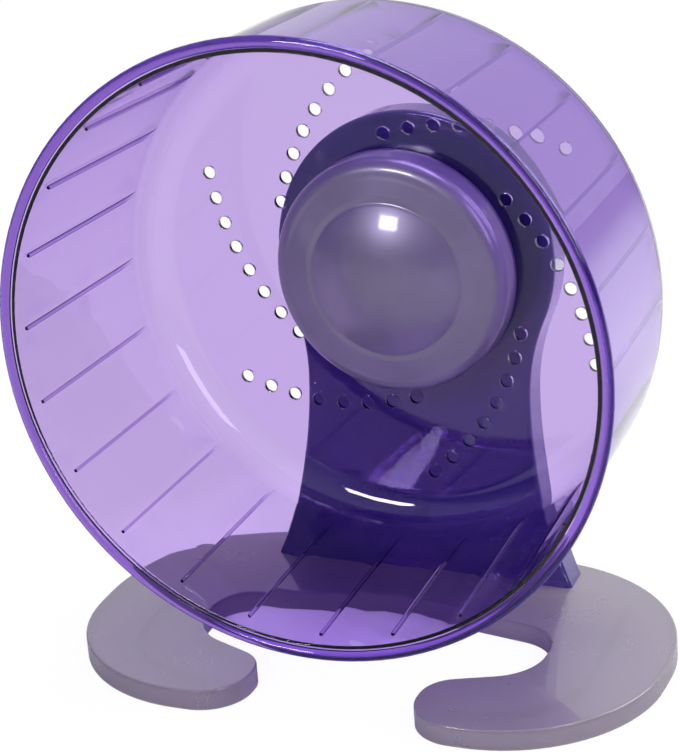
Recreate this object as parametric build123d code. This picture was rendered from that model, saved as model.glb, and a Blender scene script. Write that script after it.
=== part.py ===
from build123d import *
import math
import os

# Frame: millimetres, +Z up, the open front of the wheel faces -Y.
# The origin is on the floor, under the middle of the whole object.
# The wheel's axle lies along Y and dips a little towards the back; depths are measured along it
# from the middle of the rim bead. The column leans back from its foot.

# Stance of the wheel on its stand
axle_height = 167.9
wheel_tilt_deg = 2.15
base_width = 272.0
base_depth = 159.5
rim_setback = 11.5

# Running drum
rim_radius = 137.5
rim_bead_radius = 2.5
rim_flange_thickness = 2.0
wall_front_radius = 130.4
wall_draft_deg = 3.25
wall_thickness = 1.8
disc_front_depth = 119.0
disc_thickness = 2.0
corner_radius = 16.0

# Treads moulded on the inside of the drum wall
tread_count = 24
tread_thickness = 1.4
tread_height = 1.3
tread_front_depth = 7.0
tread_back_depth = 103.5
tread_taper_length = 14.0
tread_root = 0.9

# Vent holes, in swept rows
vent_rows = 6
vents_per_row = 8
vent_diameter = 6.2
vent_arc_centre_radius = 66.6
vent_arc_radius = 125.6
vent_arc_start_deg = 167.6
vent_arc_step_deg = -5.55

# Ball bearings, a common 8 x 22 x 7 size
bearing_bore = 8.0
bearing_diameter = 22.0
bearing_width = 7.0
bearing_front_depth = 109.0
bearing_gap = 8.0
bearing_seat_clearance = 0.05
inner_ring_wall = 2.0
outer_ring_wall = 1.7
ball_diameter = 3.97
ball_count = 7
ball_clearance = 0.05
cage_wall = 1.3
cage_width = 5.0
cage_pocket_clearance = 0.1
shield_thickness = 0.4
shield_recess = 0.3
shield_gap = 0.4

# Bearing housing on the drum's disc
housing_wall = 4.5
housing_lip = 1.0
housing_end_margin = 1.2
bearing_shoulder = 1.4
gusset_count = 6
gusset_thickness = 2.0
gusset_reach = 46.0
gusset_height = 9.0

# Hub cap over the front of the housing
cap_radius = 55.5
cap_draft = 0.6
cap_wall = 2.0
cap_face_radius = 48.0
cap_face_height = 15.4
cap_dome_radius = 35.0
cap_dome_base_height = 17.4
cap_dome_rise = 8.0
cap_shoulder_height = 9.0
cap_fit_clearance = 0.1
cap_ring_height = 4.0
cap_ring_thickness = 1.6

# Axle
axle_diameter = 8.0
axle_length = 45.0
axle_thread_length = 10.0
axle_chamfer = 0.8
axle_fit_clearance = 0.05
hex_across_flats = 13.0
bolt_head_height = 5.3
nut_height = 8.0
nut_collar_height = 1.6
washer_diameter = 16.0
washer_thickness = 1.6
collar_wall = 2.0

# Column of the stand
column_foot_setback = 122.0
column_lean_deg = 5.5
column_depth = 15.5
column_wall = 2.5
column_edge_radius = 2.0
column_foot_half_width = 73.5
column_waist_half_width = 54.5
column_waist_drop = 62.0
column_head_radius = 67.0
cover_thickness = 2.5
cover_clearance = 0.15
axle_boss_radius = 12.0
axle_boss_stand_off = 2.5
hex_pocket_clearance = 0.1
hex_pocket_margin = 0.3

# Screws that hold the column's back cover
cover_screw_diameter = 3.5
cover_screw_length = 10.0
cover_screw_head_diameter = 6.6
cover_screw_head_height = 1.2
cover_screw_head_recess = 1.3
cover_boss_radius = 4.0
cover_screws_from_axle = [(26.0, 18.0), (30.0, -30.0)]
cover_screw_from_foot = (50.0, 26.0)

# Screws that hold the column on the base
base_screw_diameter = 4.0
base_screw_length = 16.0
base_screw_head_diameter = 8.0
base_screw_head_height = 2.4
base_boss_radius = 4.5
base_boss_height = 15.0
base_pillar_radius = 6.0
base_screw_spacing = 45.0
screw_clearance = 0.3
screw_grip = 0.02
screw_recess_width = 0.9
screw_recess_depth = 0.7

# Base of the stand, a hollow plate with a claw-shaped outline
base_height = 9.5
base_wall = 2.5
base_edge_radius = 0.8
base_back_flat = 56.0
base_front_flat = 6.5
claw_gap = 78.4
claw_tip_radius = 21.8
claw_mouth_depth = 36.0
claw_mouth_radius = 17.0
hollow_width = 163.6
hollow_shoulder_depth = 53.5
hollow_corner_radius = 25.0
hollow_back_depth = 106.5
hollow_side_depth = 92.5
hollow_back_corner_radius = 22.0
hollow_back_radius = 70.0
base_rib_thickness = 1.6
base_rib_height = 4.0
curved_rib_front_inset = 28.0
curved_rib_back_inset = 34.0
curved_rib_root_depth = 10.0
curved_rib_front_depth = 20.5
curved_rib_radius = 40.0

# Places that follow from the sizes above
tilt = math.radians(wheel_tilt_deg)
lean = math.radians(column_lean_deg)
foot_drop = axle_height - base_height
column_to_axle = column_foot_setback * math.cos(lean) + foot_drop * math.sin(lean)
column_front_depth = column_to_axle / math.cos(lean - tilt)
axle_rise = foot_drop - column_front_depth * math.sin(tilt)
axle_on_column = (
    (column_front_depth * math.cos(tilt) - column_foot_setback) * math.sin(lean)
    + axle_rise * math.cos(lean)
)
head_back_reach = (
    column_foot_setback
    + (axle_on_column + column_head_radius) * math.sin(lean)
    + column_depth * math.cos(lean)
)
total_depth = rim_setback + head_back_reach
base_front_y = -total_depth / 2
base_back_y = base_front_y + base_depth
rim_plane_y = base_front_y + rim_setback
column_foot_y = rim_plane_y + column_foot_setback
axle_place = Pos(0, rim_plane_y, axle_height) * Rot(-wheel_tilt_deg, 0, 0)
column_place = Pos(0, column_foot_y, base_height) * Rot(-column_lean_deg, 0, 0)
disc_back_depth = disc_front_depth + disc_thickness
rear_bearing_depth = bearing_front_depth + bearing_width + bearing_gap
bearing_depths = {"front": bearing_front_depth, "rear": rear_bearing_depth}
bearing_back_depth = rear_bearing_depth + bearing_width
housing_front_depth = bearing_front_depth - housing_lip
housing_back_depth = bearing_back_depth + housing_end_margin
bearing_seat_radius = bearing_diameter / 2 + bearing_seat_clearance
housing_radius = bearing_diameter / 2 + housing_wall
pitch_radius = (bearing_bore + bearing_diameter) / 4
inner_ring_radius = bearing_bore / 2 + inner_ring_wall
outer_ring_inner_radius = bearing_diameter / 2 - outer_ring_wall
shaft_radius = axle_diameter / 2 - axle_fit_clearance
axle_boss_front_depth = column_front_depth - axle_boss_stand_off
washer_front_depth = bearing_front_depth - washer_thickness
nut_front_depth = washer_front_depth - nut_height
axle_tip_depth = nut_front_depth - 1.2
bolt_seat_depth = axle_tip_depth + axle_length
base_screw_y = column_foot_y + column_depth / 2
base_back_corner_radius = base_width / 2 - base_back_flat
base_front_corner_radius = base_width / 2 - claw_gap / 2 - claw_tip_radius - base_front_flat
cover_front = column_depth - cover_thickness


def revolved(section):
    """Turn a half section, drawn as radius along X and depth along Y, about the axle."""
    return revolve(section, Axis.Y, 360)


def ring(inner, outer, start, length):
    """A plain ring about the axle, from depth start to start + length."""
    corners = [(inner, start), (outer, start), (outer, start + length), (inner, start + length)]
    return revolved(make_face(Polyline(corners, close=True)))


def disc(radius, start, length):
    """A plain disc about the axle, from depth start to start + length."""
    corners = [(0, start), (radius, start), (radius, start + length), (0, start + length)]
    return revolved(make_face(Polyline(corners, close=True)))


def turned(shape, angle):
    """Turn a shape about the axle by an angle that runs from +X towards +Z."""
    return Rot(0, -angle, 0) * shape


def hexagon(start, length, across_flats):
    """A hexagonal prism on the axle, from depth start to start + length."""
    flat_plane = Plane(origin=(0, start, 0), x_dir=(1, 0, 0), z_dir=(0, 1, 0))
    outline = flat_plane * RegularPolygon(radius=across_flats / 2, side_count=6, major_radius=False)
    return extrude(outline, length)


def one_solid_each(shapes):
    """Group separate solids that share one node."""
    return Compound(children=list(shapes))


def wall_inner_radius(depth):
    """Inner radius of the drum wall, which narrows towards the disc."""
    return wall_front_radius - depth * math.tan(math.radians(wall_draft_deg))


def cup(radial_growth, back_depth, back_corner):
    """Solid of the drum's hollow, grown outwards and closed at back_depth with a round corner."""
    front_depth = 0.0
    corners = [
        (0, front_depth),
        (wall_inner_radius(front_depth) + radial_growth, front_depth),
        (wall_inner_radius(back_depth) + radial_growth, back_depth),
        (0, back_depth),
    ]
    section = make_face(Polyline(corners, close=True))
    corner = section.vertices().sort_by_distance((corners[2][0], corners[2][1], 0))[0]
    return revolved(fillet(corner, back_corner))


def rim():
    """Flange and rolled bead round the drum's open front."""
    flange_inner = wall_inner_radius(0)
    bead_centre = rim_radius - rim_bead_radius
    half_flange = rim_flange_thickness / 2
    corners = [
        (flange_inner, -half_flange),
        (bead_centre, -half_flange),
        (bead_centre, half_flange),
        (flange_inner, half_flange),
    ]
    flange = make_face(Polyline(corners, close=True))
    inner_edge = flange.vertices().sort_by_distance((flange_inner, -half_flange, 0))[0]
    flange = fillet(inner_edge, rim_flange_thickness * 0.45)
    bead = Pos(bead_centre, 0) * Circle(rim_bead_radius)
    return revolved(flange + bead)


def tread(angle):
    """One tread: a low bar along the drum wall that tapers out at its back end."""
    taper_start = tread_back_depth - tread_taper_length
    corners = [
        (wall_inner_radius(tread_front_depth) + tread_root, tread_front_depth),
        (wall_inner_radius(tread_front_depth) - tread_height, tread_front_depth),
        (wall_inner_radius(taper_start) - tread_height, taper_start),
        (wall_inner_radius(tread_back_depth), tread_back_depth),
        (wall_inner_radius(tread_back_depth) + tread_root, tread_back_depth),
    ]
    bar = extrude(make_face(Polyline(corners, close=True)), tread_thickness / 2, both=True)
    return turned(bar, angle)


def vent(row, index):
    """One vent hole of a row that sweeps outwards on a circular arc."""
    along = math.radians(vent_arc_start_deg + index * vent_arc_step_deg)
    x = vent_arc_centre_radius + vent_arc_radius * math.cos(along)
    z = vent_arc_radius * math.sin(along)
    hole = disc(vent_diameter / 2, disc_front_depth - 1, disc_thickness + 2)
    return turned(Pos(x, 0, z) * hole, row * 360 / vent_rows)


def gusset(angle):
    """One stiffening web between the disc's back and the bearing housing."""
    corners = [
        (bearing_seat_radius + housing_wall / 2, disc_back_depth - disc_thickness / 2),
        (gusset_reach, disc_back_depth - disc_thickness / 2),
        (gusset_reach, disc_back_depth + 0.5),
        (housing_radius, disc_back_depth + gusset_height),
        (bearing_seat_radius + housing_wall / 2, disc_back_depth + gusset_height),
    ]
    web = extrude(make_face(Polyline(corners, close=True)), gusset_thickness / 2, both=True)
    return turned(web, angle)


def running_drum():
    """Wall, rim, disc, treads, vents and bearing housing, moulded in one piece."""
    growth = wall_thickness / math.cos(math.radians(wall_draft_deg))
    shell = cup(growth, disc_back_depth, corner_radius + wall_thickness)
    shell -= cup(0, disc_front_depth, corner_radius)
    shell += rim()
    shell += [tread(i * 360 / tread_count) for i in range(tread_count)]
    shell -= [vent(row, i) for row in range(vent_rows) for i in range(vents_per_row)]
    housing_length = housing_back_depth - housing_front_depth
    shell += disc(housing_radius, housing_front_depth, housing_length)
    shell += [gusset((i + 0.5) * 360 / gusset_count) for i in range(gusset_count)]
    draft_at_ring = cap_draft * cap_ring_height / cap_shoulder_height
    ring_outer = cap_radius - cap_wall - draft_at_ring - cap_fit_clearance
    shell += ring(
        ring_outer - cap_ring_thickness,
        ring_outer,
        disc_front_depth - cap_ring_height,
        cap_ring_height + disc_thickness / 2,
    )
    shell -= disc(
        outer_ring_inner_radius + bearing_shoulder / 2, housing_front_depth - 1, housing_length + 2
    )
    front_seat_length = housing_lip + bearing_width
    shell -= disc(bearing_seat_radius, housing_front_depth, front_seat_length)
    shell -= disc(bearing_seat_radius, rear_bearing_depth, bearing_width + housing_end_margin)
    return shell


def cap_solid(inset):
    """Solid under the cap's outer surface, drawn in by inset all round."""
    base = cap_radius - inset
    side = cap_radius - cap_draft - inset
    seat = disc_front_depth
    side_end = (side, seat - cap_shoulder_height)
    face_edge = (cap_face_radius - inset / 2, seat - cap_face_height + inset)
    crease = (cap_dome_radius - inset / 4, seat - cap_dome_base_height + inset)
    crest = (0, seat - cap_dome_base_height - cap_dome_rise + inset)
    outline = [
        Line((0, seat), (base, seat)),
        Line((base, seat), side_end),
        TangentArc(side_end, face_edge, tangent=(-cap_draft, -cap_shoulder_height)),
        Line(face_edge, crease),
    ]
    outline += [
        TangentArc(crest, crease, tangent=(1, 0)),
        Line(crest, (0, seat)),
    ]
    return revolved(make_face(outline))


def hub_cap():
    """Hollow cap with a round shoulder, a flat ring and a domed middle."""
    return cap_solid(0) - cap_solid(cap_wall)


def bearing_ball_centres():
    """Angles of the balls round the axle."""
    return [i * 360 / ball_count for i in range(ball_count)]


def ball_groove(mid_depth):
    """The round groove that the balls run in."""
    groove = Pos(pitch_radius, mid_depth) * Circle(ball_diameter / 2 + ball_clearance)
    return revolved(groove)


def bearing(position, front_depth):
    """Nodes of one ball bearing whose front face lies at front_depth."""
    mid_depth = front_depth + bearing_width / 2
    outer = ring(outer_ring_inner_radius, bearing_diameter / 2, front_depth, bearing_width)
    inner = ring(bearing_bore / 2, inner_ring_radius, front_depth, bearing_width)
    groove = ball_groove(mid_depth)
    balls = [
        turned(Pos(pitch_radius, mid_depth, 0) * Sphere(ball_diameter / 2), angle)
        for angle in bearing_ball_centres()
    ]
    cage_inner = pitch_radius - cage_wall / 2
    cage = ring(cage_inner, cage_inner + cage_wall, mid_depth - cage_width / 2, cage_width)
    pocket = Rot(0, 90, 0) * Cylinder(ball_diameter / 2 + cage_pocket_clearance, cage_wall * 3)
    cage -= [
        turned(Pos(pitch_radius, mid_depth, 0) * pocket, angle)
        for angle in bearing_ball_centres()
    ]
    shield_inner = inner_ring_radius + shield_gap
    shield_outer = outer_ring_inner_radius - bearing_seat_clearance
    shield_depths = (
        front_depth + shield_recess,
        front_depth + bearing_width - shield_recess - shield_thickness,
    )
    shields = [
        ring(shield_inner, shield_outer, depth, shield_thickness) for depth in shield_depths
    ]
    return {
        f"{position}_bearing_outer_ring": outer - groove,
        f"{position}_bearing_inner_ring": inner - groove,
        f"{position}_bearing_balls": one_solid_each(balls),
        f"{position}_bearing_cage": cage,
        f"{position}_bearing_shields": one_solid_each(shields),
    }


def axle_bolt():
    """Hexagon bolt that carries the wheel, put in from the back of the column."""
    shank = disc(shaft_radius, axle_tip_depth, axle_length)
    tip = shank.edges().filter_by(GeomType.CIRCLE).sort_by(Axis.Y)[0]
    shank = chamfer(tip, axle_chamfer)
    relief_end = axle_tip_depth + axle_thread_length
    for groove in range(int(axle_thread_length / 1.25)):
        start = relief_end - groove * 1.25 - 0.5
        if start > axle_tip_depth + axle_chamfer:
            shank -= ring(shaft_radius - 0.4, shaft_radius + 1, start, 0.5)
    return shank + hexagon(bolt_seat_depth, bolt_head_height, hex_across_flats)


def axle_nut():
    """Locking nut with a round collar, on the front end of the axle."""
    hex_length = nut_height - nut_collar_height
    nut = hexagon(nut_front_depth + nut_collar_height, hex_length, hex_across_flats)
    nut += disc(hex_across_flats / 2 - 0.6, nut_front_depth, nut_collar_height)
    return nut - disc(shaft_radius + axle_fit_clearance, nut_front_depth - 1, nut_height + 2)


def column_outline():
    """Front view of the column, measured up from its foot: round head, waist and spread foot."""
    half = column_waist_half_width
    head_radius = column_head_radius
    waist = (half, axle_on_column - column_waist_drop)
    neck_radius = (half**2 + column_waist_drop**2 - head_radius**2) / (2 * (head_radius - half))
    share = head_radius / (head_radius + neck_radius)
    neck = (share * (half + neck_radius), axle_on_column - share * column_waist_drop)
    foot = (column_foot_half_width, 0)
    flank = [TangentArc(waist, neck, tangent=(0, 1)), TangentArc(waist, foot, tangent=(0, -1))]
    other_flank = [mirror(arc, Plane.YZ) for arc in flank]
    head = ThreePointArc(neck, (0, axle_on_column + head_radius), (-neck[0], neck[1]))
    return make_face(flank + other_flank + [head, Line(foot, (-foot[0], 0))])


def column_prism(outline, start, length):
    """Extrude a column outline between two depths behind its front face, before it is leaned."""
    front = Plane(origin=(0, start, 0), x_dir=(1, 0, 0), z_dir=(0, -1, 0))
    return extrude(front * outline, -length)


def below(height):
    """A block that fills everything below a level."""
    size = 2 * base_width
    return Pos(0, 0, height) * Box(size, size, size, align=(Align.CENTER, Align.CENTER, Align.MAX))


def cover_screw_seats():
    """Where the back cover's screws go, across and up from the middle of the column's foot."""
    right = [(x, axle_on_column + z) for x, z in cover_screws_from_axle] + [cover_screw_from_foot]
    return right + [(-x, height) for x, height in right]


def column_rod(radius, x, height, start, length):
    """A round rod through the column's depth, at right angles to its front face."""
    return Pos(x, 0, height) * disc(radius, start, length)


def base_screw_places():
    """Where the base's screws go across the column's foot."""
    return [-base_screw_spacing, 0.0, base_screw_spacing]


def column_shell():
    """Front and sides of the column, hollow and open at the back."""
    outline = column_outline()
    shell = column_prism(outline, 0, column_depth)
    front_edges = shell.faces().sort_by(Axis.Y)[0].edges()
    rounded = [edge for edge in front_edges if edge.center().Z > 1]
    shell = column_place * fillet(rounded, column_edge_radius) - below(base_height)
    inside = column_prism(offset(outline, -column_wall), column_wall, column_depth)
    shell -= column_place * inside - below(base_height + column_wall)
    boss_start = column_wall / 2
    boss_length = cover_front - boss_start
    pilot = cover_screw_diameter / 2 + screw_grip
    for x, height in cover_screw_seats():
        boss = column_rod(cover_boss_radius, x, height, boss_start, boss_length)
        boss -= column_rod(pilot, x, height, boss_start + column_wall, boss_length)
        shell += column_place * boss
    upright = (Align.CENTER, Align.CENTER, Align.MIN)
    base_pilot = base_screw_diameter / 2 + screw_grip
    for x in base_screw_places():
        foot = Pos(x, base_screw_y, base_height)
        shell += foot * Cylinder(base_boss_radius, base_boss_height, align=upright)
        shell -= foot * Cylinder(base_pilot, base_boss_height - 1, align=upright)
    boss_end = bolt_seat_depth + bolt_head_height + hex_pocket_margin - axle_boss_front_depth
    shell += axle_place * disc(axle_boss_radius, axle_boss_front_depth, boss_end)
    shell -= axle_place * disc(axle_diameter / 2, axle_boss_front_depth - 1, boss_end + 2)
    pocket_width = hex_across_flats + 2 * hex_pocket_clearance
    shell -= axle_place * hexagon(bolt_seat_depth, bolt_head_height + 1, pocket_width)
    return shell


def column_cover():
    """Flat cover that closes the back of the column."""
    outline = offset(column_outline(), -column_wall - cover_clearance)
    cover = column_prism(outline, cover_front, cover_thickness)
    seat_start = column_depth - cover_screw_head_recess
    for x, height in cover_screw_seats():
        hole_radius = cover_screw_diameter / 2 + screw_clearance
        cover -= column_rod(hole_radius, x, height, cover_front - 1, column_depth)
        seat_radius = cover_screw_head_diameter / 2 + screw_clearance
        cover -= column_rod(seat_radius, x, height, seat_start, column_depth)
    return column_place * cover - below(base_height + column_wall + cover_clearance)


def screw(diameter, length, head_diameter, head_height):
    """Pan-head screw with a cross recess: head up from Z = 0, shank down along -Z."""
    body = Cylinder(diameter / 2, length, align=(Align.CENTER, Align.CENTER, Align.MAX))
    body = chamfer(body.edges().sort_by(Axis.Z)[0], diameter * 0.2)
    head = Cylinder(head_diameter / 2, head_height, align=(Align.CENTER, Align.CENTER, Align.MIN))
    head = fillet(head.edges().filter_by(GeomType.CIRCLE).sort_by(Axis.Z)[-1], head_height * 0.4)
    slot_length = head_diameter * 0.55
    for size in ((slot_length, screw_recess_width), (screw_recess_width, slot_length)):
        slot = Box(*size, screw_recess_depth, align=(Align.CENTER, Align.CENTER, Align.MAX))
        head -= Pos(0, 0, head_height) * slot
    return body + head


def column_screws():
    """Screws through the column's back cover."""
    seat_start = column_depth - cover_screw_head_recess
    one = screw(
        cover_screw_diameter, cover_screw_length, cover_screw_head_diameter, cover_screw_head_height
    )
    facing_back = Rot(-90, 0, 0) * one
    places = [column_place * Pos(x, seat_start, height) for x, height in cover_screw_seats()]
    return one_solid_each(place * facing_back for place in places)


def base_outline():
    """Plan of the base, from the back round the right claw, and its mirror image."""
    half = base_width / 2
    tip = claw_gap / 2
    side = hollow_width / 2
    right = [
        (0, base_back_y),
        (half, base_back_y),
        (half, base_front_y),
        (tip, base_front_y),
        (tip, base_front_y + claw_mouth_depth),
        (side, base_front_y + hollow_shoulder_depth),
        (side, base_front_y + hollow_side_depth),
        (0, base_front_y + hollow_back_depth),
    ]
    left = [(-x, y) for x, y in right[6:0:-1]]
    radii = [
        base_back_corner_radius,
        base_front_corner_radius,
        claw_tip_radius,
        claw_mouth_radius,
        hollow_corner_radius,
        hollow_back_corner_radius,
    ]
    corner_radii = [0] + radii + [hollow_back_radius] + radii[::-1]
    return make_face(FilletPolyline(right + left, radius=corner_radii, close=True))


def base_rib_path(sign):
    """Route of one curved stiffening rib under the base."""
    return FilletPolyline(
        (0, base_front_y + curved_rib_root_depth),
        (sign * (base_width / 2 - curved_rib_front_inset), base_front_y + curved_rib_front_depth),
        (sign * (base_width / 2 - curved_rib_back_inset), column_foot_y),
        radius=[curved_rib_radius],
    )


def stand_base():
    """Hollow base plate, open below, with ribs and screw pillars inside."""
    outline = base_outline()
    plate = extrude(outline, base_height)
    top_edges = plate.faces().sort_by(Axis.Z)[-1].edges()
    plate = fillet(top_edges, base_edge_radius)
    hollow_height = base_height - base_wall
    hollow = offset(outline, -base_wall)
    plate -= extrude(hollow, hollow_height)
    rib_bottom = hollow_height - base_rib_height
    inside = Pos(0, 0, rib_bottom) * extrude(hollow, base_rib_height + base_wall / 2)
    cross_rib = Pos(0, column_foot_y, rib_bottom) * Box(
        base_width,
        base_rib_thickness,
        base_rib_height + base_wall / 2,
        align=(Align.CENTER, Align.CENTER, Align.MIN),
    )
    plate += cross_rib & inside
    for sign in (1, -1):
        strip = trace(base_rib_path(sign), base_rib_thickness)
        rib = Pos(0, 0, rib_bottom) * extrude(strip, base_rib_height + base_wall / 2)
        plate += rib & inside
    for x in base_screw_places():
        pillar_bottom = base_screw_head_height + 0.4
        pillar = Cylinder(
            base_pillar_radius,
            base_height - pillar_bottom - base_wall / 2,
            align=(Align.CENTER, Align.CENTER, Align.MIN),
        )
        hole = Cylinder(base_screw_diameter / 2 + screw_clearance, base_height * 3)
        plate += Pos(x, base_screw_y, pillar_bottom) * pillar
        plate -= Pos(x, base_screw_y, 0) * hole
    return plate


def base_screws():
    """Screws that come up through the base into the column's foot."""
    seat_z = base_screw_head_height + 0.4
    one = screw(
        base_screw_diameter, base_screw_length, base_screw_head_diameter, base_screw_head_height
    )
    facing_down = Rot(180, 0, 0) * one
    return one_solid_each(
        Pos(x, base_screw_y, seat_z) * facing_down for x in base_screw_places()
    )


def wheel_nodes():
    """Nodes that share the wheel's tilted axle."""
    nodes = {
        "running_drum": running_drum(),
        "hub_cap": hub_cap(),
        "axle_bolt": axle_bolt(),
        "axle_nut": axle_nut(),
        "axle_washer": ring(
            axle_diameter / 2, washer_diameter / 2, washer_front_depth, washer_thickness
        ),
        "bearing_spacer": ring(
            axle_diameter / 2,
            axle_diameter / 2 + collar_wall - 0.2,
            bearing_front_depth + bearing_width,
            bearing_gap,
        ),
        "axle_collar": ring(
            axle_diameter / 2,
            axle_diameter / 2 + collar_wall,
            bearing_back_depth,
            axle_boss_front_depth - bearing_back_depth,
        ),
    }
    for position, front_depth in bearing_depths.items():
        nodes.update(bearing(position, front_depth))
    return {name: axle_place * shape for name, shape in nodes.items()}


parts = wheel_nodes()
parts["column_shell"] = column_shell()
parts["column_cover"] = column_cover()
parts["column_screws"] = column_screws()
parts["stand_base"] = stand_base()
parts["base_screws"] = base_screws()

os.makedirs("parts", exist_ok=True)
for name, shape in parts.items():
    export_step(shape, f"parts/{name}.step")
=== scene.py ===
import math

import bmesh
import bpy
from mathutils import Matrix, Vector


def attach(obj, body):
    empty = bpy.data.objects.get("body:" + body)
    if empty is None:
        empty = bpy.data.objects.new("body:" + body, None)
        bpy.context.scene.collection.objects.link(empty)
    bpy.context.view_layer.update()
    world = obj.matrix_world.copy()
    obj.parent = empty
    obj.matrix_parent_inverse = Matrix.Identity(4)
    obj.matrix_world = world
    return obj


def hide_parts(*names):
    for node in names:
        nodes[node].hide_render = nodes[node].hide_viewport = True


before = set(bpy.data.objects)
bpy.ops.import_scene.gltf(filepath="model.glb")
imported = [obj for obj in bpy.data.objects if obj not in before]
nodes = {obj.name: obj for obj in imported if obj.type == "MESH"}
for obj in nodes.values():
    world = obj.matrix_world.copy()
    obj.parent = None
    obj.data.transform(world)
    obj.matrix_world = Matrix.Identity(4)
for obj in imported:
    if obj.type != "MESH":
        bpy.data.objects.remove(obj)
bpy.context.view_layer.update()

# Camera, solved from the photograph
CAMERA_PLACE = (0.468447, -1.092917, 0.632299)
CAMERA_RIGHT = (0.926560, 0.369856, -0.068513)
CAMERA_UP = (-0.087386, 0.388816, 0.917162)
CAMERA_BACK = (0.365856, -0.843818, 0.392581)
CAMERA_LENS = 140.701
CAMERA_SHIFT = (-0.02249, 0.01469)

# Middle of the drum's rim, and the direction of the axle from front to back
RIM_MIDDLE = Vector((0.0, -0.0735541, 0.1679))
TILT = math.radians(2.15)
AXLE = Vector((0.0, math.cos(TILT), -math.sin(TILT)))

# Lengths in metres; depths are measured from the rim along the axle
DISC_DEPTH = 0.119

CAP_CREST_DEPTH = 0.0936
CAP_DOME_RADIUS = 0.035
CAP_DOME_HEIGHT = 0.008
CAP_RING_RADIUS = 0.036
CAP_RING_DROP = 0.002
CAP_SHOULDER_RADIUS = 0.048
CAP_SIDE_RADIUS = 0.0549
CAP_SIDE_HEIGHT = 0.009
CAP_SIDE_DRAFT = 0.0006
CAP_WALL = 0.002
CAP_STEPS_ROUND = 180

VENT_ROWS = 6
VENTS_IN_ROW = 8
VENT_RADIUS = 0.0031
VENT_ARC_CENTRE = 0.0666
VENT_ARC_RADIUS = 0.1256
VENT_ARC_START_DEG = 167.6
VENT_ARC_STEP_DEG = 5.55
LIP_RADIUS = 0.00022
LIP_STEPS_ROUND = 28
LIP_STEPS_SECTION = 8

WHITE = (1, 1, 1, 1)


def new_material(name):
    """A material with an empty node tree, and its output node."""
    material = bpy.data.materials.new(name)
    material.use_nodes = True
    tree = material.node_tree
    tree.nodes.clear()
    output = tree.nodes.new("ShaderNodeOutputMaterial")
    return material, tree, output


def node(tree, kind, **values):
    """Add a node; keys are attributes, or input names where the node has such an input."""
    made = tree.nodes.new(kind)
    for key, value in values.items():
        label = key.replace("_", " ")
        if label in made.inputs:
            made.inputs[label].default_value = value
        else:
            setattr(made, key, value)
    return made


def row_coordinates(tree, scale=(1, 1, 1)):
    """Texture coordinates in metres of the row's frame."""
    place = tree.nodes.new("ShaderNodeTexCoord")
    mapping = node(tree, "ShaderNodeMapping")
    mapping.inputs["Scale"].default_value = scale
    tree.links.new(place.outputs["Object"], mapping.inputs["Vector"])
    return mapping.outputs["Vector"]


def noise(tree, vector, scale, detail=2.0, roughness=0.5):
    """A noise texture's factor."""
    made = node(tree, "ShaderNodeTexNoise", Scale=scale, Detail=detail, Roughness=roughness)
    tree.links.new(vector, made.inputs["Vector"])
    return made.outputs["Fac"]


def between(tree, factor, low, high, start=0.0, end=1.0):
    """Map a factor from start..end onto low..high."""
    made = tree.nodes.new("ShaderNodeMapRange")
    made.inputs["From Min"].default_value = start
    made.inputs["From Max"].default_value = end
    made.inputs["To Min"].default_value = low
    made.inputs["To Max"].default_value = high
    tree.links.new(factor, made.inputs["Value"])
    return made.outputs["Result"]


def combined(tree, operation, first, second):
    """Two factors from 0 to 1 put together; the second may be a plain number."""
    made = node(tree, "ShaderNodeMath", operation=operation, use_clamp=True)
    tree.links.new(first, made.inputs[0])
    if isinstance(second, float):
        made.inputs[1].default_value = second
    else:
        tree.links.new(second, made.inputs[1])
    return made.outputs[0]


def blended(tree, factor, first, second):
    """A colour between two, each of them plain or from a node."""
    made = node(tree, "ShaderNodeMix", data_type="RGBA")
    ends = [socket for socket in made.inputs if socket.type == "RGBA"]
    for end, colour in zip(ends, (first, second)):
        if isinstance(colour, tuple):
            end.default_value = colour
        else:
            tree.links.new(colour, end)
    tree.links.new(factor, made.inputs["Factor"])
    return [socket for socket in made.outputs if socket.type == "RGBA"][0]


def mixed(tree, factor, first, second):
    """A mix of two shaders."""
    made = tree.nodes.new("ShaderNodeMixShader")
    tree.links.new(factor, made.inputs["Fac"])
    tree.links.new(first, made.inputs[1])
    tree.links.new(second, made.inputs[2])
    return made.outputs["Shader"]


def waviness(tree, vector, coarse, fine, coarse_height, fine_height):
    """Bump of a moulded surface: long soft waves and a fine grain."""
    low = node(tree, "ShaderNodeBump", Strength=1.0, Distance=coarse_height)
    tree.links.new(noise(tree, vector, coarse, 1.0), low.inputs["Height"])
    high = node(tree, "ShaderNodeBump", Strength=1.0, Distance=fine_height)
    tree.links.new(noise(tree, vector, fine, 3.0, 0.6), high.inputs["Height"])
    tree.links.new(low.outputs["Normal"], high.inputs["Normal"])
    return high.outputs["Normal"]


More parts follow.
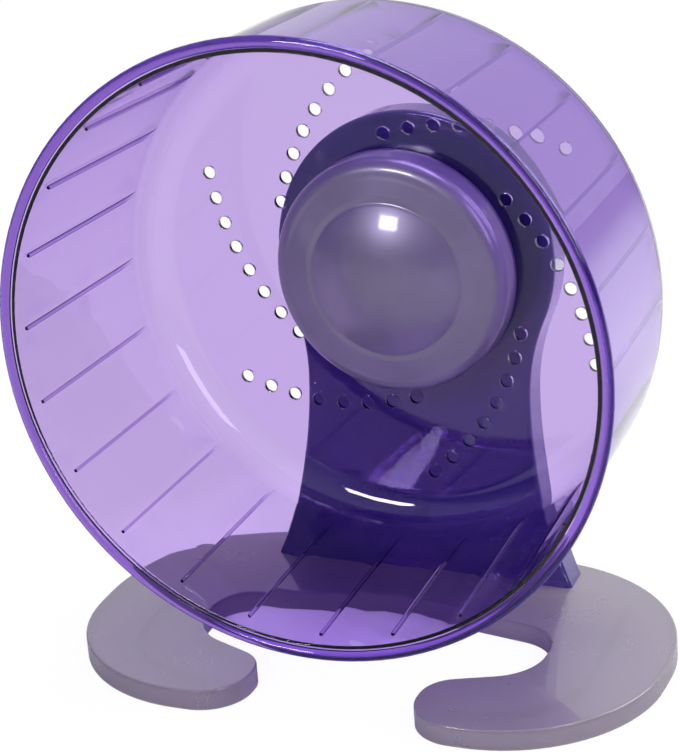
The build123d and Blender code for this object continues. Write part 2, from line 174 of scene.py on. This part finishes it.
def clear_plastic(name, colour, density, smooth, worn, coarse_height, tint, clarity):
    """Moulded plastic whose colour deepens with its thickness; clarity is its clear share."""
    material, tree, output = new_material(name)
    vector = row_coordinates(tree)
    surface = node(tree, "ShaderNodeBsdfPrincipled", IOR=1.49)
    surface.inputs["Base Color"].default_value = tint
    surface.inputs["Transmission Weight"].default_value = clarity
    surface.inputs["Coat Weight"].default_value = 1.0 if clarity < 0.9 else 0.0
    surface.inputs["Coat Roughness"].default_value = 0.02
    wear = noise(tree, vector, 55.0, 4.0, 0.65)
    tree.links.new(between(tree, wear, smooth, worn, 0.35, 0.75), surface.inputs["Roughness"])
    normal = waviness(tree, vector, 14.0, 420.0, coarse_height, 0.0000015)
    tree.links.new(normal, surface.inputs["Normal"])
    passing = node(tree, "ShaderNodeBsdfTransparent")
    passing.inputs["Color"].default_value = (0.96, 0.95, 0.97, 1)
    path = tree.nodes.new("ShaderNodeLightPath")
    share = combined(tree, "MULTIPLY", path.outputs["Is Shadow Ray"], clarity)
    shown = mixed(tree, share, surface.outputs["BSDF"], passing.outputs["BSDF"])
    tree.links.new(shown, output.inputs["Surface"])
    depth = node(tree, "ShaderNodeVolumeAbsorption", Density=density)
    depth.inputs["Color"].default_value = colour
    tree.links.new(depth.outputs["Volume"], output.inputs["Volume"])
    return material


def pearl_plastic(name):
    """Smoke-coloured plastic with a pearly bloom, under a smooth gloss."""
    material, tree, output = new_material(name)
    vector = row_coordinates(tree)
    surface = node(tree, "ShaderNodeBsdfPrincipled", IOR=1.49, Metallic=0.45)
    cloud = between(tree, noise(tree, vector, 30.0, 3.0), 0.0, 1.0, 0.35, 0.7)
    colour = blended(tree, cloud, (0.150, 0.128, 0.216, 1), (0.184, 0.158, 0.262, 1))
    tree.links.new(colour, surface.inputs["Base Color"])
    wear = noise(tree, vector, 80.0, 4.0, 0.6)
    tree.links.new(between(tree, wear, 0.32, 0.40, 0.3, 0.8), surface.inputs["Roughness"])
    surface.inputs["Coat Weight"].default_value = 0.7
    surface.inputs["Coat Roughness"].default_value = 0.09
    normal = waviness(tree, vector, 22.0, 700.0, 0.00003, 0.0000003)
    tree.links.new(normal, surface.inputs["Normal"])
    tree.links.new(surface.outputs["BSDF"], output.inputs["Surface"])
    return material


def metal(name, colour, low, high, grain_scale):
    """Steel with a fine grain and uneven polish."""
    material, tree, output = new_material(name)
    vector = row_coordinates(tree, grain_scale)
    surface = node(tree, "ShaderNodeBsdfPrincipled", Metallic=1.0)
    surface.inputs["Base Color"].default_value = colour
    wear = noise(tree, vector, 120.0, 4.0, 0.7)
    tree.links.new(between(tree, wear, low, high, 0.3, 0.7), surface.inputs["Roughness"])
    normal = waviness(tree, vector, 60.0, 900.0, 0.00001, 0.000004)
    tree.links.new(normal, surface.inputs["Normal"])
    tree.links.new(surface.outputs["BSDF"], output.inputs["Surface"])
    return material


def nylon(name):
    """Plain ivory nylon with a soft grain."""
    material, tree, output = new_material(name)
    vector = row_coordinates(tree)
    surface = node(tree, "ShaderNodeBsdfPrincipled", Roughness=0.45)
    surface.inputs["Base Color"].default_value = (0.72, 0.69, 0.60, 1)
    surface.inputs["Subsurface Weight"].default_value = 0.1
    normal = waviness(tree, vector, 90.0, 900.0, 0.00002, 0.000005)
    tree.links.new(normal, surface.inputs["Normal"])
    tree.links.new(surface.outputs["BSDF"], output.inputs["Surface"])
    return material


violet = clear_plastic(
    "violet_clear", colour=(0.43, 0.13, 0.76, 1), density=500.0,
    smooth=0.0, worn=0.035, coarse_height=0.00006, tint=WHITE, clarity=1.0,
)
smoke = clear_plastic(
    "smoke_clear", colour=(0.43, 0.35, 0.50, 1), density=760.0,
    smooth=0.27, worn=0.36, coarse_height=0.00004, tint=(0.60, 0.53, 0.62, 1), clarity=0.72,
)
# Column plastic: the smoke plastic with a painted indigo tint, standing in for the violet light
# and shade it gets through the drum
violet_shaded_smoke = clear_plastic(
    "smoke_painted_violet_shade", colour=(0.40, 0.28, 0.66, 1), density=900.0,
    smooth=0.12, worn=0.20, coarse_height=0.00004, tint=(0.065, 0.035, 0.29, 1), clarity=0.55,
)
pearl = pearl_plastic("pearl_smoke")
zinc = metal("zinc_steel", (0.62, 0.63, 0.66, 1), low=0.22, high=0.42, grain_scale=(1, 1, 1))
ground = metal("ground_steel", (0.66, 0.66, 0.67, 1), low=0.10, high=0.22, grain_scale=(1, 0.2, 1))
ivory = nylon("ivory_nylon")


def on_axle(radius, depth, angle):
    """A point at that radius and depth from the rim, at an angle from +X towards +Z."""
    beside = Vector((1, 0, 0)) * math.cos(angle)
    above = Vector((0, math.sin(TILT), math.cos(TILT))) * math.sin(angle)
    return RIM_MIDDLE + AXLE * depth + (beside + above) * radius


def mesh_piece(name, points, faces, material, body):
    """A smooth mesh that moves with a body."""
    mesh = bpy.data.meshes.new(name)
    mesh.from_pydata([tuple(point) for point in points], [], faces)
    shape = bmesh.new()
    shape.from_mesh(mesh)
    bmesh.ops.remove_doubles(shape, verts=shape.verts, dist=1e-7)
    bmesh.ops.recalc_face_normals(shape, faces=shape.faces)
    shape.to_mesh(mesh)
    shape.free()
    for face in mesh.polygons:
        face.use_smooth = True
    mesh.materials.append(material)
    made = bpy.data.objects.new(name, mesh)
    bpy.context.scene.collection.objects.link(made)
    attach(made, body)
    return made


def cap_dome():
    """The cap's crown from its crest to its crease, as radius and depth."""
    ball = (CAP_DOME_RADIUS**2 + CAP_DOME_HEIGHT**2) / (2 * CAP_DOME_HEIGHT)
    reach = math.degrees(math.asin(CAP_DOME_RADIUS / ball))
    turns = [math.radians(-90 + reach * i / 24) for i in range(25)]
    middle = CAP_CREST_DEPTH + ball
    return [(ball * math.cos(t), middle + ball * math.sin(t)) for t in turns]


def cap_profile():
    """Outside of the hub cap from its crest to its foot, as radius and depth."""
    crease = CAP_CREST_DEPTH + CAP_DOME_HEIGHT
    ring_width = CAP_SHOULDER_RADIUS - CAP_RING_RADIUS
    ring = [(i / 8, (i - 0.4) / 8) for i in range(1, 8)]
    shoulder_depth = crease + CAP_RING_DROP
    side_depth = DISC_DEPTH - CAP_SIDE_HEIGHT
    shoulder_width = CAP_SIDE_RADIUS - CAP_SHOULDER_RADIUS
    shoulder_height = side_depth - shoulder_depth
    turns = [math.radians(90 * i / 14) for i in range(15)]

    outline = cap_dome()
    outline += [(0.0356, crease + 0.00045), (0.0366, crease + 0.00035)]
    outline += [(CAP_RING_RADIUS + ring_width * u, crease + CAP_RING_DROP * v) for u, v in ring]
    outline += [
        (CAP_SHOULDER_RADIUS + shoulder_width * math.sin(t),
         side_depth - shoulder_height * math.cos(t))
        for t in turns
    ]
    outline += [
        (CAP_SIDE_RADIUS + CAP_SIDE_DRAFT * i / 4, side_depth + CAP_SIDE_HEIGHT * i / 4)
        for i in range(1, 5)
    ]
    return outline


def hub_cap_skin():
    """The hub cap's pearly outside, turned smoothly about the axle, with its hollow inside."""
    outside = cap_profile()
    inside = [(outside[-1][0] - CAP_WALL, DISC_DEPTH)]
    inside += [
        (max(r - CAP_WALL, 0.0), d + CAP_WALL)
        for r, d in reversed(outside) if d + CAP_WALL < DISC_DEPTH
    ]
    profile = [(0.0, outside[0][1])] + outside[1:] + inside + [(0.0, inside[-1][1])]
    angles = [2 * math.pi * step / CAP_STEPS_ROUND for step in range(CAP_STEPS_ROUND)]
    points = [on_axle(r, d, angle) for angle in angles for r, d in profile]
    count = len(profile)
    faces = []
    for step in range(CAP_STEPS_ROUND):
        here, there = step * count, (step + 1) % CAP_STEPS_ROUND * count
        faces += [(here + i, here + i + 1, there + i + 1, there + i) for i in range(count - 1)]
    skin = mesh_piece("hub_cap_skin", points, faces, pearl, "drum")
    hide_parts("hub_cap")


def vent_places():
    """Middle of each vent on the disc's front, beside and above the axle."""
    places = []
    for row in range(VENT_ROWS):
        turn = 2 * math.pi * row / VENT_ROWS
        for index in range(VENTS_IN_ROW):
            along = math.radians(VENT_ARC_START_DEG - VENT_ARC_STEP_DEG * index)
            x = VENT_ARC_CENTRE + VENT_ARC_RADIUS * math.cos(along)
            z = VENT_ARC_RADIUS * math.sin(along)
            places.append((
                x * math.cos(turn) - z * math.sin(turn),
                x * math.sin(turn) + z * math.cos(turn),
            ))
    return places


def vent_lips():
    """The soft round lip that the mould leaves round the front of each vent."""
    points, faces = [], []
    for x, z in vent_places():
        first = len(points)
        for i in range(LIP_STEPS_ROUND):
            a = 2 * math.pi * i / LIP_STEPS_ROUND
            near = first + i * LIP_STEPS_SECTION
            far = first + (i + 1) % LIP_STEPS_ROUND * LIP_STEPS_SECTION
            for j in range(LIP_STEPS_SECTION):
                b = 2 * math.pi * j / LIP_STEPS_SECTION
                r = VENT_RADIUS + LIP_RADIUS * math.cos(b)
                px, pz = x + r * math.cos(a), z + r * math.sin(a)
                depth = DISC_DEPTH + LIP_RADIUS * math.sin(b)
                points.append(on_axle(math.hypot(px, pz), depth, math.atan2(pz, px)))
                k = (j + 1) % LIP_STEPS_SECTION
                faces.append((near + j, near + k, far + k, far + j))
    mesh_piece("vent_lips", points, faces, violet, "drum")


hub_cap_skin()
vent_lips()

# The cages are nylon, and the other bearing pieces ground steel
finish = {
    "running_drum": violet,
    "hub_cap": pearl,
    "stand_base": smoke,
    "column_shell": violet_shaded_smoke,
    "column_cover": violet_shaded_smoke,
    "axle_bolt": zinc,
    "axle_nut": zinc,
    "axle_washer": zinc,
    "bearing_spacer": zinc,
    "axle_collar": zinc,
    "column_screws": zinc,
    "base_screws": zinc,
}
for name, shape in nodes.items():
    material = finish.get(name) or (ivory if name.endswith("cage") else ground)
    shape.data.materials.clear()
    shape.data.materials.append(material)


def floor():
    """A wide pale floor that reads as white, with only a breath of shadow."""
    bpy.ops.mesh.primitive_plane_add(size=14, location=(0, 0, 0))
    plane = bpy.context.object
    plane.name = "floor"
    material, tree, output = new_material("pale_floor")
    vector = row_coordinates(tree)
    split = tree.nodes.new("ShaderNodeSeparateXYZ")
    tree.links.new(vector, split.inputs["Vector"])
    away = node(tree, "ShaderNodeVectorMath", operation="LENGTH")
    tree.links.new(vector, away.inputs[0])
    path = tree.nodes.new("ShaderNodeLightPath")
    seen = path.outputs["Is Camera Ray"]
    refracted = path.outputs["Is Transmission Ray"]

    matt = node(tree, "ShaderNodeBsdfDiffuse", Roughness=0.5)
    matt.inputs["Color"].default_value = (0.92, 0.92, 0.92, 1)
    tree.links.new(waviness(tree, vector, 40.0, 900.0, 0.00002, 0.00001), matt.inputs["Normal"])

    # White wherever it is seen or looked through, with a painted dark violet glow far in front of
    # the object that stands in for shade seen through the plastic
    glow = node(tree, "ShaderNodeEmission", Strength=1.0)
    rear = between(tree, split.outputs["Y"], 0.0, 1.0, -0.9, -0.35)
    pale = combined(tree, "MAXIMUM", seen, rear)
    tree.links.new(blended(tree, pale, (0.06, 0.02, 0.22, 1), WHITE), glow.inputs["Color"])
    beside = between(tree, away.outputs["Value"], 0.25, 0.92, 0.09, 0.21)
    through = combined(tree, "MULTIPLY", refracted, beside)
    share = combined(tree, "MAXIMUM", combined(tree, "MULTIPLY", seen, 0.94), through)
    plain = mixed(tree, share, matt.outputs["BSDF"], glow.outputs["Emission"])

    # Painted dim reflection: a dark grey glow where gloss mirrors it, so that the plastics keep
    # their depth
    mirrored = node(tree, "ShaderNodeEmission", Strength=1.0)
    mirrored.inputs["Color"].default_value = (0.10, 0.09, 0.13, 1)
    bounced = combined(tree, "SUBTRACT", path.outputs["Is Glossy Ray"], refracted)
    near = between(tree, split.outputs["Y"], 0.6, 0.0, 0.05, 0.40)
    dim = combined(tree, "MULTIPLY", bounced, near)
    shown = mixed(tree, dim, plain, mirrored.outputs["Emission"])
    tree.links.new(shown, output.inputs["Surface"])
    plane.data.materials.append(material)


def softbox(name, place, aim, width, height, watts):
    """A rectangular soft light that points at aim."""
    light = bpy.data.lights.new(name, "AREA")
    light.shape = "RECTANGLE"
    light.size = width
    light.size_y = height
    light.energy = watts
    shade = bpy.data.objects.new(name, light)
    shade.location = place
    shade.rotation_euler = (Vector(aim) - Vector(place)).to_track_quat("-Z", "Y").to_euler()
    bpy.context.scene.collection.objects.link(shade)


def studio():
    """White surroundings for what is looked through, a dimmer room for what is mirrored."""
    world = bpy.data.worlds.new("studio")
    bpy.context.scene.world = world
    world.use_nodes = True
    tree = world.node_tree
    tree.nodes.clear()
    output = tree.nodes.new("ShaderNodeOutputWorld")
    place = tree.nodes.new("ShaderNodeTexCoord")
    split = tree.nodes.new("ShaderNodeSeparateXYZ")
    tree.links.new(place.outputs["Generated"], split.inputs["Vector"])
    path = tree.nodes.new("ShaderNodeLightPath")
    white, backdrop, room = (
        node(tree, "ShaderNodeBackground", Strength=1.0) for _ in range(3)
    )
    white.inputs["Color"].default_value = WHITE

    # Mirrored: lighter towards the ceiling, and nearly white behind the object
    ramp = tree.nodes.new("ShaderNodeValToRGB")
    ends = ramp.color_ramp.elements
    ends[0].position, ends[0].color = 0.05, (0.13, 0.125, 0.15, 1)
    ends[1].position, ends[1].color = 0.85, (0.62, 0.62, 0.65, 1)
    tree.links.new(split.outputs["Z"], ramp.inputs["Fac"])
    rear = between(tree, split.outputs["Y"], 0.0, 0.9, 0.45, 0.8)
    swept = blended(tree, rear, ramp.outputs["Color"], (0.95, 0.95, 0.97, 1))
    tree.links.new(swept, room.inputs["Color"])

    # Looked through: white behind and low down, violet towards the camera and the ceiling
    behind = between(tree, split.outputs["Y"], 0.0, 1.0, -0.20, 0.40)
    under = between(tree, split.outputs["Z"], 1.0, 0.0, 0.15, 0.60)
    side = combined(tree, "MULTIPLY", behind, under)
    tree.links.new(blended(tree, side, (0.16, 0.05, 0.62, 1), WHITE), backdrop.inputs["Color"])
    tree.links.new(between(tree, side, 0.60, 1.0), backdrop.inputs["Strength"])

    around = mixed(
        tree, path.outputs["Is Transmission Ray"],
        room.outputs["Background"], backdrop.outputs["Background"],
    )
    shown = mixed(tree, path.outputs["Is Camera Ray"], around, white.outputs["Background"])
    tree.links.new(shown, output.inputs["Surface"])

    window_aim = (0.004, 0.026, 0.192)
    softbox("window", (-0.425, -1.39, 0.80), window_aim, width=0.34, height=0.24, watts=8)
    softbox("fill", (1.3, -0.9, 0.9), (0, 0, 0.15), width=0.6, height=0.9, watts=7)
    softbox("side", (1.25, 0.55, 1.05), (0.1, 0, 0.2), width=1.2, height=1.2, watts=22)
    softbox("top", (0.1, 0.25, 1.5), (0, 0, 0.1), width=0.9, height=0.5, watts=14)


def camera():
    """The camera that took the photograph."""
    lens = bpy.data.cameras.new("camera")
    lens.sensor_fit = "AUTO"
    lens.sensor_width = 36.0
    lens.lens = CAMERA_LENS
    lens.shift_x, lens.shift_y = CAMERA_SHIFT
    lens.clip_start = 0.02
    lens.clip_end = 60
    eye = bpy.data.objects.new("camera", lens)
    turn = Matrix((CAMERA_RIGHT, CAMERA_UP, CAMERA_BACK)).transposed().to_4x4()
    eye.matrix_world = Matrix.Translation(CAMERA_PLACE) @ turn
    bpy.context.scene.collection.objects.link(eye)
    bpy.context.scene.camera = eye


floor()
studio()
camera()

scene = bpy.context.scene
scene.view_settings.view_transform = "Standard"
scene.cycles.max_bounces = 24
scene.cycles.transmission_bounces = 20
scene.cycles.transparent_max_bounces = 20
scene.cycles.glossy_bounces = 6
scene.cycles.diffuse_bounces = 4
scene.cycles.volume_bounces = 0
